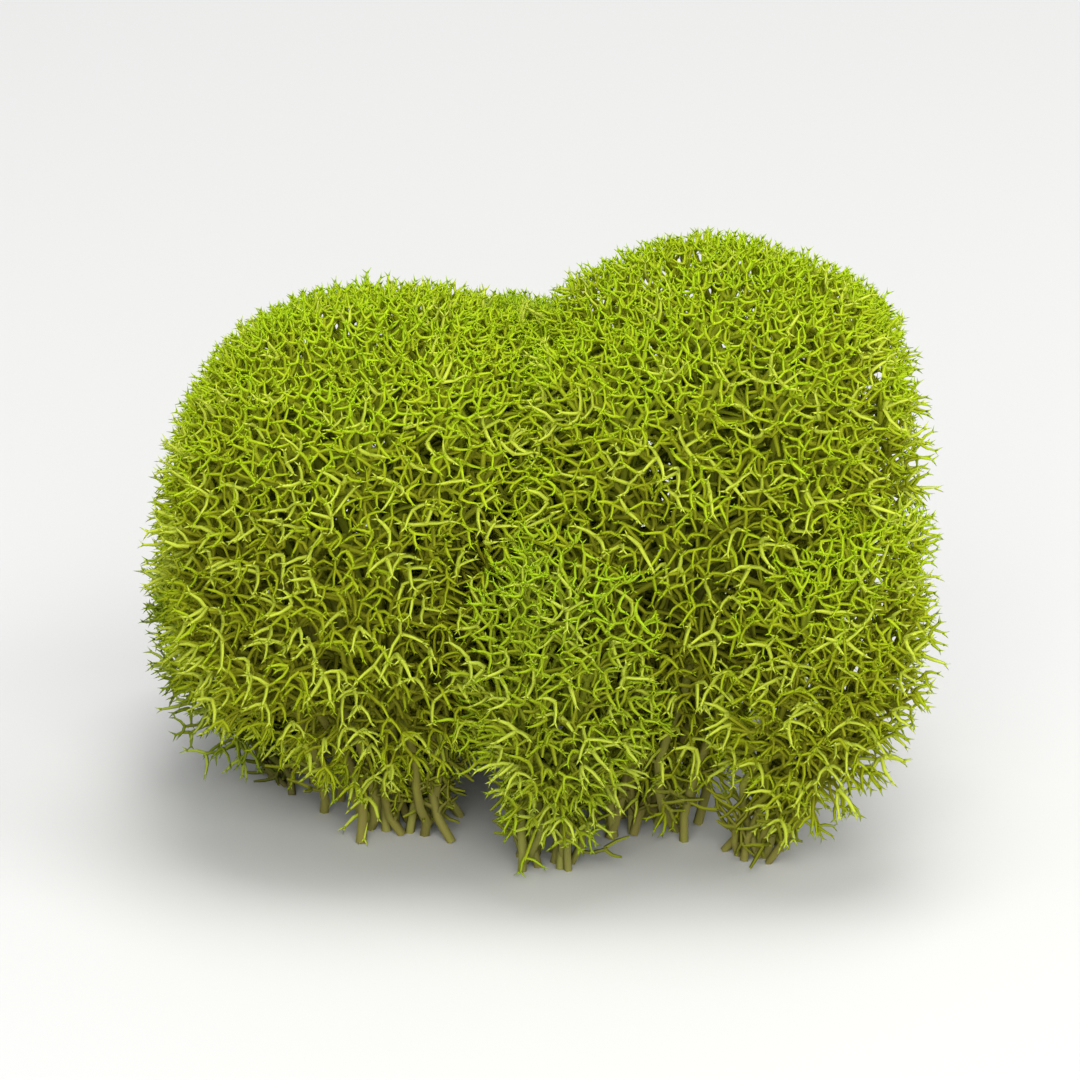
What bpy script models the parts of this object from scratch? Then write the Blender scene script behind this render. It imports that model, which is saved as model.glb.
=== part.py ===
"""A reindeer moss clump, cut from its bed: eight podetia that grew pressed together.

Each podetium is one lichen plant and one solid: a bushy, rounded crown on a short bundle of limbs,
with a flat foot where the clump was cut. Two lobes stand in front, and the other podetia nestle
against them. All of them stand on their feet, on the plane z = 0.
The places and sizes below are in millimetres, seen from the front: X right, Y back, Z up.
"""

import math
from typing import NamedTuple

import bmesh
import bpy
from mathutils import Matrix, Vector

MM = 0.001

# Clear space between neighbouring podetia
GAP = 0.36

# A crown's surface swells and dips by up to half of LUMP_HEIGHT, about once in LUMP_SPREAD
LUMP_HEIGHT = 3.2
LUMP_SPREAD = 7.0

# A limb bundle: each limb's radius and its distance from the bundle's middle, as shares of the foot's radius
LIMB_COUNT = 3
LIMB_SIDES = 12
LIMB_THICKNESS = 0.56
LIMB_OFFSET = 0.44
# How far a limb reaches below the cut, and how much wider it is where it enters the crown
LIMB_BELOW_CUT = 3.0
LIMB_FLARE = 1.25
# Where a limb ends, as shares of the crown's half width aside and of its half height below the middle
LIMB_SPREAD = 0.20
LIMB_DEPTH = 0.30

# Side of the blocks that cut the feet and part the lobes
BLOCK = 120.0

# Dyed lichen, as linear colour: lime on the two lobes, deeper greens on the lower podetia
LIME = (0.30, 0.42, 0.035, 1.0)
LEAF_GREEN = (0.25, 0.36, 0.04, 1.0)
SHADED_GREEN = (0.20, 0.30, 0.045, 1.0)
LICHEN_ROUGHNESS = 0.95


class Podetium(NamedTuple):
    """One lichen plant. The crown's middle and half sizes are X, Y, Z, and the foot's middle is X, Y."""

    name: str
    crown: tuple[float, float, float]
    half_sizes: tuple[float, float, float]
    foot: tuple[float, float]
    foot_radius: float
    turn: float
    colour: tuple[float, float, float, float]
    squareness: float = 0.0
    fineness: int = 3


# The two lobes in front, which press on each other along an upright plane
LOBES = (
    Podetium(
        name="front_left_podetium",
        crown=(-12.8, -6.8, 27.0),
        half_sizes=(17.0, 15.4, 19.0),
        foot=(-9.8, -5.0),
        foot_radius=6.0,
        turn=15.0,
        colour=LIME,
        squareness=0.24,
        fineness=4,
    ),
    Podetium(
        name="front_right_podetium",
        crown=(13.4, -7.2, 29.6),
        half_sizes=(16.8, 15.4, 19.8),
        foot=(9.6, -4.8),
        foot_radius=6.0,
        turn=40.0,
        colour=LIME,
        squareness=0.24,
        fineness=4,
    ),
)
# The others, each of which grew against all that stand before it
NEIGHBOURS = (
    Podetium(
        name="back_middle_podetium",
        crown=(-1.0, 12.6, 21.2),
        half_sizes=(13.6, 13.2, 16.4),
        foot=(-0.6, 9.6),
        foot_radius=4.8,
        turn=75.0,
        colour=LEAF_GREEN,
        squareness=0.10,
        fineness=4,
    ),
    Podetium(
        name="back_left_podetium",
        crown=(-18.2, 11.6, 18.2),
        half_sizes=(11.2, 11.6, 13.4),
        foot=(-15.2, 10.8),
        foot_radius=4.0,
        turn=100.0,
        colour=LEAF_GREEN,
    ),
    Podetium(
        name="back_right_podetium",
        crown=(17.2, 12.4, 19.4),
        half_sizes=(11.8, 11.8, 14.4),
        foot=(14.4, 11.0),
        foot_radius=4.0,
        turn=20.0,
        colour=LEAF_GREEN,
    ),
    Podetium(
        name="front_low_podetium",
        crown=(3.2, -18.2, 18.4),
        half_sizes=(8.2, 7.8, 13.2),
        foot=(1.4, -13.4),
        foot_radius=3.8,
        turn=30.0,
        colour=LEAF_GREEN,
    ),
    Podetium(
        name="right_low_podetium",
        crown=(23.6, -15.8, 20.0),
        half_sizes=(9.8, 8.8, 13.4),
        foot=(18.8, -11.6),
        foot_radius=3.4,
        turn=60.0,
        colour=LIME,
    ),
    Podetium(
        name="left_low_podetium",
        crown=(-22.6, 2.2, 13.2),
        half_sizes=(7.8, 8.8, 10.0),
        foot=(-18.4, 2.4),
        foot_radius=3.2,
        turn=90.0,
        colour=SHADED_GREEN,
    ),
)


def clear_scene():
    """Removes what the startup file holds."""
    for old in list(bpy.data.objects):
        bpy.data.objects.remove(old, do_unlink=True)


def new_collection(name):
    """A collection linked to the scene."""
    made = bpy.data.collections.new(name)
    bpy.context.scene.collection.children.link(made)
    return made


def lichen_material(name, colour):
    """A dull dyed surface with no shine."""
    material = bpy.data.materials.new(name)
    material.use_nodes = True
    shader = material.node_tree.nodes["Principled BSDF"]
    shader.inputs["Base Color"].default_value = colour
    shader.inputs["Roughness"].default_value = LICHEN_ROUGHNESS
    shader.inputs["Metallic"].default_value = 0.0
    return material


def lump_texture():
    """The soft swelling that runs over all crowns."""
    texture = bpy.data.textures.new("crown_lumps", "CLOUDS")
    texture.noise_scale = LUMP_SPREAD * MM
    texture.noise_depth = 0
    return texture


def move_to(obj, collection, origin):
    """Puts an object in its collection and parents it to the clump's origin."""
    for old in list(obj.users_collection):
        old.objects.unlink(obj)
    collection.objects.link(obj)
    obj.parent = origin
    return obj


def make_helper(obj):
    """Marks an object that only shapes others."""
    obj.hide_render = True
    obj.display_type = "WIRE"
    return obj


def aim(obj, direction):
    """Turns an object so that its own Z points along a direction."""
    obj.rotation_mode = "QUATERNION"
    obj.rotation_quaternion = direction.to_track_quat("Z", "Y")


def boolean(obj, other, operation):
    """Joins another solid to this one, or cuts it away."""
    step = obj.modifiers.new(f"{operation.lower()}_{other.name}", "BOOLEAN")
    step.operation = operation
    step.solver = "EXACT"
    step.object = other


def crown(name, plant, grown, lumps, origin):
    """A ball that is stretched to the crown's sizes, squared a little and given soft lumps."""
    bpy.ops.mesh.primitive_ico_sphere_add(subdivisions=plant.fineness, radius=1.0)
    ball = bpy.context.active_object
    ball.name = name
    ball.data.name = name
    sizes = [(half + grown) * MM for half in plant.half_sizes]
    ball.data.transform(Matrix.Diagonal(sizes).to_4x4())
    ball.location = Vector(plant.crown) * MM
    squared = ball.modifiers.new("squared", "CAST")
    squared.cast_type = "CUBOID"
    squared.factor = plant.squareness
    swelling = ball.modifiers.new("lumps", "DISPLACE")
    swelling.texture = lumps
    swelling.texture_coords = "OBJECT"
    swelling.texture_coords_object = origin
    swelling.strength = LUMP_HEIGHT * MM
    return ball


def limb(name, plant, number, grown):
    """One limb of the bundle: a cone from below the cut up into the crown."""
    angle = math.radians(plant.turn) + math.tau * number / LIMB_COUNT
    aside = Vector((math.cos(angle), math.sin(angle), 0.0))
    low = Vector((*plant.foot, -LIMB_BELOW_CUT)) + aside * LIMB_OFFSET * plant.foot_radius
    high = Vector(plant.crown) + aside * LIMB_SPREAD * plant.half_sizes[0]
    high.z -= LIMB_DEPTH * plant.half_sizes[2]
    thickness = LIMB_THICKNESS * plant.foot_radius
    shape = bmesh.new()
    bmesh.ops.create_cone(
        shape,
        cap_ends=True,
        segments=LIMB_SIDES,
        radius1=(thickness + grown) * MM,
        radius2=(thickness * LIMB_FLARE + grown) * MM,
        depth=(high - low).length * MM,
    )
    mesh = bpy.data.meshes.new(name)
    shape.to_mesh(mesh)
    shape.free()
    made = bpy.data.objects.new(name, mesh)
    made.location = (low + high) / 2 * MM
    aim(made, high - low)
    return made


def podetium(name, plant, home, helpers, origin, lumps, grown=0.0):
    """A whole podetium before its neighbours press on it, made bigger all over by grown."""
    body = move_to(crown(name, plant, grown, lumps, origin), home, origin)
    for number in range(LIMB_COUNT):
        part = limb(f"{name}_limb_{number + 1}", plant, number, grown)
        make_helper(move_to(part, helpers, origin))
        boolean(body, part, "UNION")
    return body


def block(name, corner, facing, helpers, origin):
    """A cutting block that fills the side of a plane that facing points to."""
    bpy.ops.mesh.primitive_cube_add(size=BLOCK * MM)
    made = bpy.context.active_object
    made.name = name
    made.location = (corner + facing * BLOCK / 2) * MM
    aim(made, facing)
    return make_helper(move_to(made, helpers, origin))


def part_lobes(bodies, helpers, origin):
    """Flattens the two lobes where they touch, on both sides of an upright gap."""
    left, right = (Vector((lobe.crown[0], lobe.crown[1], 0.0)) for lobe in LOBES)
    middle = (left + right) / 2
    across = (right - left).normalized()
    for lobe, facing in zip(LOBES, (across, -across)):
        corner = middle - facing * GAP / 2
        cutter = block(f"{lobe.name}_flat_side", corner, facing, helpers, origin)
        boolean(bodies[lobe.name], cutter, "DIFFERENCE")


def near(first, second):
    """Whether two crowns are close enough to touch."""
    apart = Vector(first.crown) - Vector(second.crown)
    return apart.length < max(first.half_sizes) + max(second.half_sizes) + LUMP_HEIGHT


def lean_on_elders(bodies, helpers, origin, lumps):
    """Presses the shape of each podetium into those that grew after it."""
    order = LOBES + NEIGHBOURS
    for index, elder in enumerate(order):
        mould = podetium(f"mould_of_{elder.name}", elder, helpers, helpers, origin, lumps, GAP)
        make_helper(mould)
        for younger in order[max(index + 1, len(LOBES)) :]:
            if near(elder, younger):
                boolean(bodies[younger.name], mould, "DIFFERENCE")


def centre_over_origin(bodies, origin):
    """Moves the whole clump so that its box stands centred on the world's origin."""
    bpy.context.view_layer.update()
    graph = bpy.context.evaluated_depsgraph_get()
    corners = [
        body.matrix_world @ Vector(corner)
        for body in bodies
        for corner in body.evaluated_get(graph).bound_box
    ]
    for axis in range(2):
        places = [corner[axis] for corner in corners]
        origin.location[axis] = -(min(places) + max(places)) / 2


def build_clump():
    """Makes all podetia, then lets them press on each other."""
    clear_scene()
    home = new_collection("reindeer_moss_clump")
    helpers = new_collection("shaping_helpers")
    origin = bpy.data.objects.new("clump_origin", None)
    home.objects.link(origin)
    lumps = lump_texture()
    bodies = {}
    for plant in LOBES + NEIGHBOURS:
        body = podetium(plant.name, plant, home, helpers, origin, lumps)
        body.data.materials.append(lichen_material(f"{plant.name}_lichen", plant.colour))
        bodies[plant.name] = body
    part_lobes(bodies, helpers, origin)
    lean_on_elders(bodies, helpers, origin, lumps)
    down = Vector((0.0, 0.0, -1.0))
    cut = block("bed_cut", Vector(), down, helpers, origin)
    for body in bodies.values():
        boolean(body, cut, "DIFFERENCE")
        body.data.shade_smooth()
    centre_over_origin(bodies.values(), origin)


build_clump()
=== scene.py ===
"""The looks of a reindeer moss clump: each podetium as its own branches, from cut stalks to starry tips."""

import logging
import math
from dataclasses import dataclass, field
from enum import Enum, IntEnum
from typing import Any, NamedTuple

import bmesh
import bpy
import numpy as np
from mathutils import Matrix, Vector, noise
from mathutils.bvhtree import BVHTree

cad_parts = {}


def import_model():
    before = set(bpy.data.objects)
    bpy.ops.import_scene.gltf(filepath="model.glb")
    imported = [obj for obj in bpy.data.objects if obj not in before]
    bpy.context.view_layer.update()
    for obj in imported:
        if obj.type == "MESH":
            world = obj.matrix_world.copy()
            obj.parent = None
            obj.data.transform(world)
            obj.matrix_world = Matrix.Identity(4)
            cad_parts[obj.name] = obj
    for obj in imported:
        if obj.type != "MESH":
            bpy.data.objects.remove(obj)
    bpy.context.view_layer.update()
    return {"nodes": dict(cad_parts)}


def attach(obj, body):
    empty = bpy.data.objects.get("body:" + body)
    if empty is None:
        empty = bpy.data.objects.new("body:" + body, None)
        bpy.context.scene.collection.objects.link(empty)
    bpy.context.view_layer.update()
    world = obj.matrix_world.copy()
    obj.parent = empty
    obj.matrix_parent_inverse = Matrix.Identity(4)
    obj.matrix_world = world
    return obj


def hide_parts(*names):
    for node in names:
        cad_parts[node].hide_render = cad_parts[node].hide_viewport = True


MM = 0.001
UV_MAP = "OFBake"
ROOT_BODY = "root"

# Vertices nearer than this are one, and a vertex lower than this stands on the ground
SAME_PLACE = 0.01 * MM
ON_GROUND = 0.05 * MM
# Nothing is divided by a shorter length than this
TINY = 1e-9
# Straight up, and what a direction is multiplied by to lie level
UP = np.array([0.0, 0.0, 1.0])
LEVEL = np.array([1.0, 1.0, 0.0])
# Just under 1: lets a number that is rounded down reach its highest value, and tells a strand's end
ALMOST = 0.99
# The sockets of a Mix node that mixes colours
MIX_FACTOR, MIX_FIRST, MIX_SECOND, MIX_RESULT = 0, 6, 7, 2

log = logging.getLogger("reindeer_moss")

Colour = tuple[float, float, float, float]
Place = tuple[float, float, float]
Socket = bpy.types.NodeSocket
Range = tuple[float, float]
# A value's size where an effect is absent, and how much it grows to where the effect is full
Gain = tuple[float, float]


class Dye(Enum):
    """The material slots: lime and leaf green dyes, and a darker green whose colours are painted shade, for
    the low podetium on the left.
    """

    LIME = "lime_lichen"
    LEAF = "leaf_green_lichen"
    SHADED = "shaded_green_lichen"


class Draw(IntEnum):
    """The random numbers of the strands, each of which adds its own value to the seed."""

    PRONG_AMOUNT = 0
    PRONG_START = 1
    PRONG_LEAN = 2
    PRONG_SIZE = 3
    PRONG_STRAY = 4
    SPIKE_STRAY = 5
    SPIKE_TILT = 6
    SPIKE_SIZE = 7


@dataclass
class Wiring:
    """Adds nodes to a tree and links them."""

    tree: bpy.types.NodeTree

    def plug(self, socket: Socket, value: Any) -> None:
        """Links a socket to an input, or sets the input's own value."""
        if isinstance(value, Socket):
            self.tree.links.new(value, socket)
        else:
            socket.default_value = value

    def node(self, kind: str, inputs: dict[Any, Any] | None = None, **settings: Any) -> bpy.types.Node:
        """Adds one node.

        Args:
            kind: The node's Blender type name.
            inputs: For each input, by name or number, a socket to link or a value to set.
            settings: The node's own properties.

        Returns:
            The node.
        """
        made = self.tree.nodes.new(kind)
        for name, value in settings.items():
            setattr(made, name, value)
        for key, value in (inputs or {}).items():
            self.plug(made.inputs[key], value)
        return made

    def out(self, kind: str, inputs: dict[Any, Any] | None = None, **settings: Any) -> Socket:
        """Adds one node and returns its first enabled output."""
        made = self.node(kind, inputs, **settings)
        return next(socket for socket in made.outputs if socket.enabled)

    def math(self, operation: str, *values: Any) -> Socket:
        """A Math node in a shader or geometry tree."""
        return self.out("ShaderNodeMath", dict(enumerate(values)), operation=operation)

    def mix(self, factor: Any, first: Any, second: Any, blend: str = "MIX") -> Socket:
        """Two colours, mixed by a factor."""
        inputs = {MIX_FACTOR: factor, MIX_FIRST: first, MIX_SECOND: second}
        return self.node("ShaderNodeMix", inputs, data_type="RGBA", blend_type=blend).outputs[MIX_RESULT]

    def share(self, value: Any, low: float, high: float) -> Socket:
        """How far a value is from low to high, smoothly, from 0 to 1."""
        inputs = {"Value": value, "From Min": low, "From Max": high}
        return self.node("ShaderNodeMapRange", inputs, interpolation_type="SMOOTHSTEP").outputs[0]


@dataclass
class StrandTree(Wiring):
    """Geometry Nodes that give every branch its thickness and every tip its whorl of prongs.

    The arc and the sizes are shares of a usual prong, and the angles are in radians. What is given are
    the tree's own inputs.
    """

    limb_sides: int = 5
    twig_sides: int = 3
    prong_sides: int = 3
    prong_segments: int = 2
    prong_arc: tuple[Place, ...] = ((0.0, 0.0, -0.16), (0.52, 0.0, 0.02), (0.84, 0.0, 0.56))
    prong_stray: float = 0.45
    prong_lean: Range = (-0.50, 0.35)
    prong_sizes: Range = (0.72, 1.15)
    prong_ageing: float = 0.07
    spike_stray: float = 0.6
    spike_tilt: Range = (0.35, 0.85)
    spike_sizes: Range = (0.75, 1.2)
    spike_ageing: float = 0.03
    ring_width: float = 0.012
    ring_turn: float = 0.35
    given: Any = field(init=False)

    def build(self) -> bpy.types.NodeTree:
        """Builds the tree.

        Returns:
            The node tree, with named inputs for its sizes.
        """
        self.tree.is_modifier = True
        face = self.tree.interface
        face.new_socket("Skeleton", in_out="INPUT", socket_type="NodeSocketGeometry")
        for title, default in (
            ("Thickness", 1.0),
            ("Prong Length", 1.20 * MM),
            ("Prong Thickness", 0.165 * MM),
            ("Prong Taper", 0.60),
            ("Spike Length", 0.62 * MM),
            ("Spike Thickness", 0.105 * MM),
            ("Spikes From Age", 0.80),
        ):
            face.new_socket(title, in_out="INPUT", socket_type="NodeSocketFloat").default_value = default
        for title, default in (("Fewest Prongs", 2), ("Most Prongs", 3), ("Spikes", 2), ("Seed", 1)):
            face.new_socket(title, in_out="INPUT", socket_type="NodeSocketInt").default_value = default
        face.new_socket("Material", in_out="INPUT", socket_type="NodeSocketMaterial")
        face.new_socket("Strands", in_out="OUTPUT", socket_type="NodeSocketGeometry")
        self.given = self.node("NodeGroupInput").outputs
        limbs = self.node(
            "GeometryNodeSeparateGeometry",
            {"Geometry": self.given["Skeleton"], "Selection": self._named("is_limb", "BOOLEAN")},
        ).outputs
        joined = self._joined(
            self._branches(limbs["Selection"], self.limb_sides),
            self._branches(limbs["Inverted"], self.twig_sides),
            self._prongs(),
        )
        standing = self._stand(joined)
        mapped = self._map(standing)
        smooth = self.out("GeometryNodeSetShadeSmooth", {"Geometry": mapped})
        real = self.out("GeometryNodeRealizeInstances", {"Geometry": smooth})
        dressed = self.out("GeometryNodeSetMaterial", {"Geometry": real, "Material": self.given["Material"]})
        self.node("NodeGroupOutput", {0: dressed})
        return self.tree

    def _named(self, name: str, kind: str = "FLOAT") -> Socket:
        """Reads an attribute of the skeleton."""
        return self.out("GeometryNodeInputNamedAttribute", {"Name": name}, data_type=kind)

    def _store(self, geometry: Any, name: str, value: Any, **settings: Any) -> Any:
        """Stores a value under a name on the points of a geometry."""
        inputs = {"Geometry": geometry, "Name": name, "Value": value}
        return self.out("GeometryNodeStoreNamedAttribute", inputs, **settings)

    def _joined(self, *parts: Socket) -> Socket:
        """All parts as one geometry."""
        joined = self.node("GeometryNodeJoinGeometry")
        for part in parts:
            self.tree.links.new(part, joined.inputs[0])
        return joined.outputs[0]

    def _random(self, draw: Draw, limits: Any, identity: Any = None) -> Any:
        """A random number for each point, or for each identity.

        Args:
            draw: Which number it is.
            limits: The lowest and highest value.
            identity: What points with the same number share.

        Returns:
            The number.
        """
        seed = self.math("ADD", self.given["Seed"], draw.value)
        inputs = {"Min": limits[0], "Max": limits[1], "Seed": seed}
        if identity is not None:
            inputs["ID"] = identity
        made = self.node("FunctionNodeRandomValue", data_type="FLOAT")
        sockets = {socket.name: socket for socket in made.inputs if socket.enabled}
        for name, value in inputs.items():
            self.plug(sockets[name], value)
        return next(socket for socket in made.outputs if socket.enabled)

    def _above(self, value: Any, limit: Any) -> Socket:
        """Whether a value is above a limit."""
        inputs = {"A": value, "B": limit}
        return self.out("FunctionNodeCompare", inputs, data_type="FLOAT", operation="GREATER_THAN")

    def _branches(self, skeleton: Any, sides: int) -> Socket:
        """Branches as tubes of their own thickness.

        Args:
            skeleton: The branches' edges.
            sides: How many sides a tube has.

        Returns:
            The tubes.
        """
        curves = self.out("GeometryNodeMeshToCurve", {"Mesh": skeleton})
        radius = self.math("MULTIPLY", self._named("thickness"), self.given["Thickness"])
        return self._tubes(curves, radius, sides)

    def _tubes(self, curves: Any, radius: Any, sides: int) -> Socket:
        """Tubes with closed ends, whose section knows how far round each of its points is.

        Args:
            curves: The middle lines.
            radius: The radius at each point.
            sides: How many sides a tube has.

        Returns:
            The tubes.
        """
        circle = self.out("GeometryNodeCurvePrimitiveCircle", {"Resolution": sides, "Radius": 1.0})
        factor = self.node("GeometryNodeSplineParameter").outputs["Factor"]
        ring = self._store(circle, "around", factor)
        inputs = {"Curve": curves, "Profile Curve": ring, "Scale": radius, "Fill Caps": True}
        return self.out("GeometryNodeCurveToMesh", inputs)

    def _turned(self, spin: Any, tilt: Any) -> Socket:
        """The rotation that points along the growth, then spins round it and tilts away from it.

        Args:
            spin: The angle round the growth.
            tilt: The angle away from it.

        Returns:
            The rotation.
        """
        growth = self._named("growth", "FLOAT_VECTOR")
        turned = self.out("FunctionNodeAlignRotationToVector", {"Vector": growth}, axis="Z")
        for axis, angle in (((0.0, 0.0, 1.0), spin), ((0.0, 1.0, 0.0), tilt)):
            by = self.out("FunctionNodeAxisAngleToRotation", {"Axis": axis, "Angle": angle})
            inputs = {"Rotation": turned, "Rotate By": by}
            turned = self.out("FunctionNodeRotateRotation", inputs, rotation_space="LOCAL")
        return turned

    def _prongs(self) -> Socket:
        """A whorl of bent prongs on every tip.

        Returns:
            The prongs with their spikes.
        """
        is_tip = self._named("is_tip", "BOOLEAN")
        tips = self.out("GeometryNodeMeshToPoints", {"Mesh": self.given["Skeleton"], "Selection": is_tip})
        number = self._named("tip_number", "INT")
        most = self.math("ADD", self.given["Most Prongs"], ALMOST)
        amounts = (self.given["Fewest Prongs"], most)
        count = self.math("FLOOR", self._random(Draw.PRONG_AMOUNT, amounts, number))
        inputs = {"Geometry": tips, "Amount": count}
        copies = self.node("GeometryNodeDuplicateElements", inputs, domain="POINT")
        share = self.math("DIVIDE", copies.outputs["Duplicate Index"], count)
        turn = self.math("MULTIPLY", share, math.tau)
        start = self._random(Draw.PRONG_START, (0.0, math.tau), number)
        stray = self._random(Draw.PRONG_STRAY, (-self.prong_stray, self.prong_stray))
        spin = self.math("ADD", self.math("ADD", turn, start), stray)
        lean = self._random(Draw.PRONG_LEAN, self.prong_lean)
        size = self._random(Draw.PRONG_SIZE, self.prong_sizes)
        own = self.math("MULTIPLY", size, self._named("whorl"))
        ends = dict(zip(("Start", "Middle", "End"), self.prong_arc))
        arc = self.out("GeometryNodeCurveQuadraticBezier", ends)
        inputs = {"Curve": arc, "Count": self.prong_segments + 1}
        inputs = {
            "Points": copies.outputs["Geometry"],
            "Instance": self.out("GeometryNodeResampleCurve", inputs, mode="COUNT"),
            "Rotation": self._turned(spin, lean),
            "Scale": self.math("MULTIPLY", own, self.given["Prong Length"]),
        }
        placed = self.out("GeometryNodeInstanceOnPoints", inputs)
        curves = self.out("GeometryNodeRealizeInstances", {"Geometry": placed})
        return self._pointed(curves)

    def _pointed(self, curves: Any) -> Socket:
        """Makes prongs of curves: narrower towards the end, with spikes there.

        Args:
            curves: The prongs' middle lines.

        Returns:
            The prongs with their spikes.
        """
        factor = self.node("GeometryNodeSplineParameter").outputs["Factor"]
        squared = self.math("MULTIPLY", factor, factor)
        loss = self.math("SUBTRACT", 1.0, self.given["Prong Taper"])
        narrowing = self.math("SUBTRACT", 1.0, self.math("MULTIPLY", squared, loss))
        fit = self.math("SQRT", self._named("whorl"))
        thick = self.math("MULTIPLY", self.given["Prong Thickness"], fit)
        radius = self.math("MULTIPLY", thick, narrowing)
        older = self.math("MULTIPLY_ADD", factor, self.prong_ageing, self._named("age"))
        aged = self._store(curves, "age", older)
        bodies = self._tubes(aged, radius, self.prong_sides)
        return self._joined(bodies, self._spikes(aged, factor))

    def _spikes(self, prongs: Any, factor: Any) -> Socket:
        """A few short spikes, spread at the end of every outer prong.

        Args:
            prongs: The prongs' middle lines.
            factor: How far along a prong a point is.

        Returns:
            The spikes.
        """
        tangent = self.out("GeometryNodeInputTangent")
        headed = self._store(prongs, "growth", tangent, data_type="FLOAT_VECTOR")
        placed = self._store(headed, "along", factor)
        points = self.out("GeometryNodeCurveToPoints", {"Curve": placed}, mode="EVALUATED")
        last = self._above(self._named("along"), ALMOST)
        outer = self._above(self._named("age"), self.given["Spikes From Age"])
        both = self.out("FunctionNodeBooleanMath", {0: last, 1: outer}, operation="AND")
        ends = self.out("GeometryNodeSeparateGeometry", {"Geometry": points, "Selection": both})
        inputs = {"Geometry": ends, "Amount": self.given["Spikes"]}
        copies = self.node("GeometryNodeDuplicateElements", inputs, domain="POINT")
        share = self.math("DIVIDE", copies.outputs["Duplicate Index"], self.given["Spikes"])
        stray = self._random(Draw.SPIKE_STRAY, (-self.spike_stray, self.spike_stray))
        spin = self.math("MULTIPLY_ADD", share, math.tau, stray)
        tilt = self._random(Draw.SPIKE_TILT, self.spike_tilt)
        size = self._random(Draw.SPIKE_SIZE, self.spike_sizes)
        inputs = {
            "Points": copies.outputs["Geometry"],
            "Instance": self._spike(),
            "Rotation": self._turned(spin, tilt),
            "Scale": self.math("MULTIPLY", size, self.math("SQRT", self._named("whorl"))),
        }
        spikes = self.out("GeometryNodeInstanceOnPoints", inputs)
        real = self.out("GeometryNodeRealizeInstances", {"Geometry": spikes})
        older = self.math("MULTIPLY_ADD", self._named("rise"), self.spike_ageing, self._named("age"))
        return self._store(real, "age", older)

    def _spike(self) -> Socket:
        """One spike, which knows how far round and how far up each of its points is.

        Returns:
            The spike, upright on its base.
        """
        inputs = {
            "Vertices": self.prong_sides,
            "Side Segments": 1,
            "Fill Segments": 1,
            "Radius Top": 0.0,
            "Radius Bottom": self.given["Spike Thickness"],
            "Depth": self.given["Spike Length"],
        }
        cone = self.out("GeometryNodeMeshCone", inputs, fill_type="NGON")
        index = self.out("GeometryNodeInputIndex")
        ring = self._store(cone, "around", self.math("DIVIDE", index, self.prong_sides))
        height = self.node("ShaderNodeSeparateXYZ", {0: self.out("GeometryNodeInputPosition")}).outputs["Z"]
        return self._store(ring, "rise", self.math("DIVIDE", height, self.given["Spike Length"]))

    def _stand(self, geometry: Any) -> Socket:
        """Cuts all stalks flat at the height where the clump stands.

        Args:
            geometry: The strands.

        Returns:
            The strands, none lower than the ground.
        """
        place = self.out("GeometryNodeInputPosition")
        parts = self.node("ShaderNodeSeparateXYZ", {0: place}).outputs
        level = self.math("MAXIMUM", parts["Z"], 0.0)
        flat = self.out("ShaderNodeCombineXYZ", {"X": parts["X"], "Y": parts["Y"], "Z": level})
        return self.out("GeometryNodeSetPosition", {"Geometry": geometry, "Position": flat})

    def _map(self, geometry: Any) -> Socket:
        """Lays every strand on the colour map: tint across it, age from stalk to tip up it.

        Args:
            geometry: The strands.

        Returns:
            The strands with their UV map.
        """
        angle = self.math("MULTIPLY_ADD", self._named("around"), math.tau, self.ring_turn)
        own = self._named("tint")
        across = self.math("MULTIPLY_ADD", self.math("COSINE", angle), self.ring_width, own)
        up = self.math("MULTIPLY_ADD", self.math("SINE", angle), self.ring_width, self._named("age"))
        place = self.out("ShaderNodeCombineXYZ", {"X": across, "Y": up})
        return self._store(geometry, UV_MAP, place, data_type="FLOAT2", domain="CORNER")


def new_object(name: str, data: Any) -> bpy.types.Object:
    """Makes an object and links it to the scene.

    Args:
        name: The object's name.
        data: Its mesh, light or camera.

    Returns:
        The object.
    """
    made = bpy.data.objects.new(name, data)
    bpy.context.scene.collection.objects.link(made)
    return made


def run_tree(name: str, skeleton: bpy.types.Mesh, tree: bpy.types.NodeTree, values: dict[str, Any]) -> Any:
    """Runs a Geometry Nodes tree on a skeleton and keeps the result as a plain mesh.

    Args:
        name: The new object's name.
        skeleton: The mesh that the tree starts from.
        tree: The Geometry Nodes tree.
        values: The tree's inputs, by name.

    Returns:
        The new object, linked to the scene, with no modifier.
    """
    seedling = new_object(f"{name}_skeleton", skeleton)
    modifier = seedling.modifiers.new("strands", "NODES")
    modifier.node_group = tree
    for item in tree.interface.items_tree:
        if item.in_out == "INPUT" and item.name in values:
            modifier[item.identifier] = values[item.name]
    graph = bpy.context.evaluated_depsgraph_get()
    mesh = bpy.data.meshes.new_from_object(seedling.evaluated_get(graph))
    mesh.name = name
    bpy.data.objects.remove(seedling)
    return new_object(name, mesh)


def unit(vectors: np.ndarray) -> np.ndarray:
    """Vectors at length one."""
    return vectors / np.maximum(np.linalg.norm(vectors, axis=-1, keepdims=True), TINY)


def ramp(value: Any, low: float, high: float) -> Any:
    """How far a value is from low to high, smoothly, from 0 to 1."""
    share = np.clip((value - low) / (high - low), 0.0, 1.0)
    return share * share * (3.0 - 2.0 * share)


def between(ends: Range, share: Any) -> Any:
    """The value at a share of the way from one end to the other."""
    return ends[0] + (ends[1] - ends[0]) * share


def grown(gain: Gain, share: Any) -> Any:
    """The value that a gain has grown to at a share of its effect."""
    return gain[0] + gain[1] * share


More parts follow.
